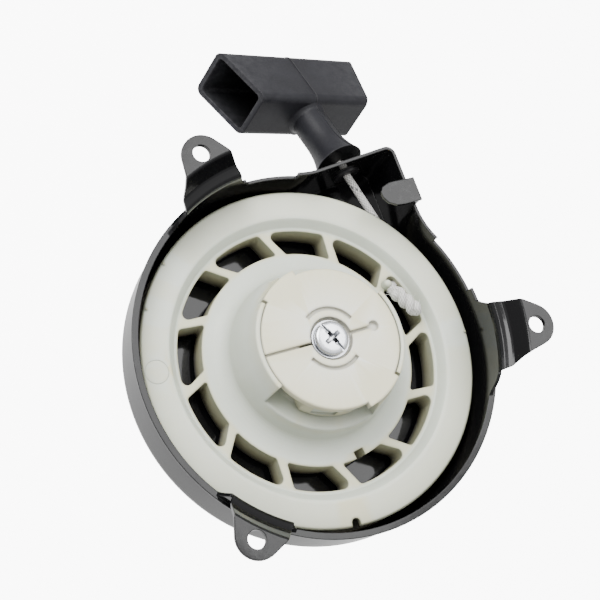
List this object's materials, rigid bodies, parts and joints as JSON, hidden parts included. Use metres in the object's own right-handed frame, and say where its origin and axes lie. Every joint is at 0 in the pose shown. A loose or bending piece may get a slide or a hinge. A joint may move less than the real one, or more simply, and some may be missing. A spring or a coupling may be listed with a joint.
{
  "type": "recoil starter",
  "caption": "Recoil pull starter: stamped cup with bolt ears, windowed rope pulley, pawls under a round retainer, and a hollow pull handle on a braided rope.",
  "frame": {"origin": "centre of the circle through the ear holes, on the ears' mounting faces", "axes": "+Z along the pulley's axis, out of the open side towards the engine; +X through one ear hole; the pull handle leaves towards +Y"},
  "size_m": [0.1537, 0.2066, 0.0691],
  "materials": {
    "black_paint": "gloss",
    "black_plastic": "satin",
    "steel": "satin",
    "spring_steel": "satin",
    "zinc": "bright",
    "nylon": "satin",
    "retainer_nylon": "satin",
    "rope": "woven",
    "handle_plastic": "satin"
  },
  "bodies": {
    "frame": {"housing": "black_paint", "rope_guide": "black_plastic", "centre_post": "steel", "centre_screw": "zinc", "screw_washer": "zinc", "rope_run": "rope"},
    "pulley": {"pulley": "nylon", "recoil_spring": "spring_steel", "spring_cover": "steel", "cover_screws": "zinc", "rope_winding": "rope", "rope_knot": "rope", "brake_spring": "steel"},
    "retainer": {"retainer": "retainer_nylon"},
    "pawl_a": {"pawl_a": "nylon", "pawl_spring_a": "steel"},
    "pawl_b": {"pawl_b": "nylon", "pawl_spring_b": "steel"},
    "rope_end": {"rope_tail": "rope", "handle_knot": "rope", "handle_washer": "zinc"},
    "grip": {"handle_grip": "handle_plastic"}
  },
  "joints": [
    {"name": "pulley_spin", "type": "hinge", "parent": "frame", "child": "pulley", "pos_m": [0, 0, -0.03], "axis": [0, 0, 1], "range_deg": [0, 1000], "stiffness_Nm_per_rad": 0.03, "springref_deg": -359.82},
    {"name": "handle_pull", "type": "slide", "parent": "frame", "child": "rope_end", "axis": [-0.2644, 0.9042, -0.3355], "range_m": [0, 0.98]},
    {"name": "grip_swivel", "type": "hinge", "parent": "rope_end", "child": "grip", "pos_m": [0.0272, 0.07369, -0.0305], "axis": [-0.2644, 0.9042, -0.3355], "continuous": true},
    {"name": "retainer_turn", "type": "hinge", "parent": "pulley", "child": "retainer", "pos_m": [0, 0, -0.006], "axis": [0, 0, -1], "range_deg": [0, 30], "stiffness_Nm_per_rad": 0.004, "springref_deg": -17.19},
    {"name": "pawl_a_swing", "type": "hinge", "parent": "pulley", "child": "pawl_a", "pos_m": [-0.01495, -0.00697, -0.012], "axis": [0, 0, -1], "range_deg": [0, 19.6]},
    {"name": "pawl_b_swing", "type": "hinge", "parent": "pulley", "child": "pawl_b", "pos_m": [0.01495, 0.00697, -0.012], "axis": [0, 0, -1], "range_deg": [0, 19.6]}
  ],
  "couplings": [
    {"joint": "handle_pull", "follows": "pulley_spin", "m_per_rad": 0.0561},
    {"joint": "pawl_a_swing", "follows": "retainer_turn", "ratio": 0.65},
    {"joint": "pawl_b_swing", "follows": "retainer_turn", "ratio": 0.65}
  ]
}
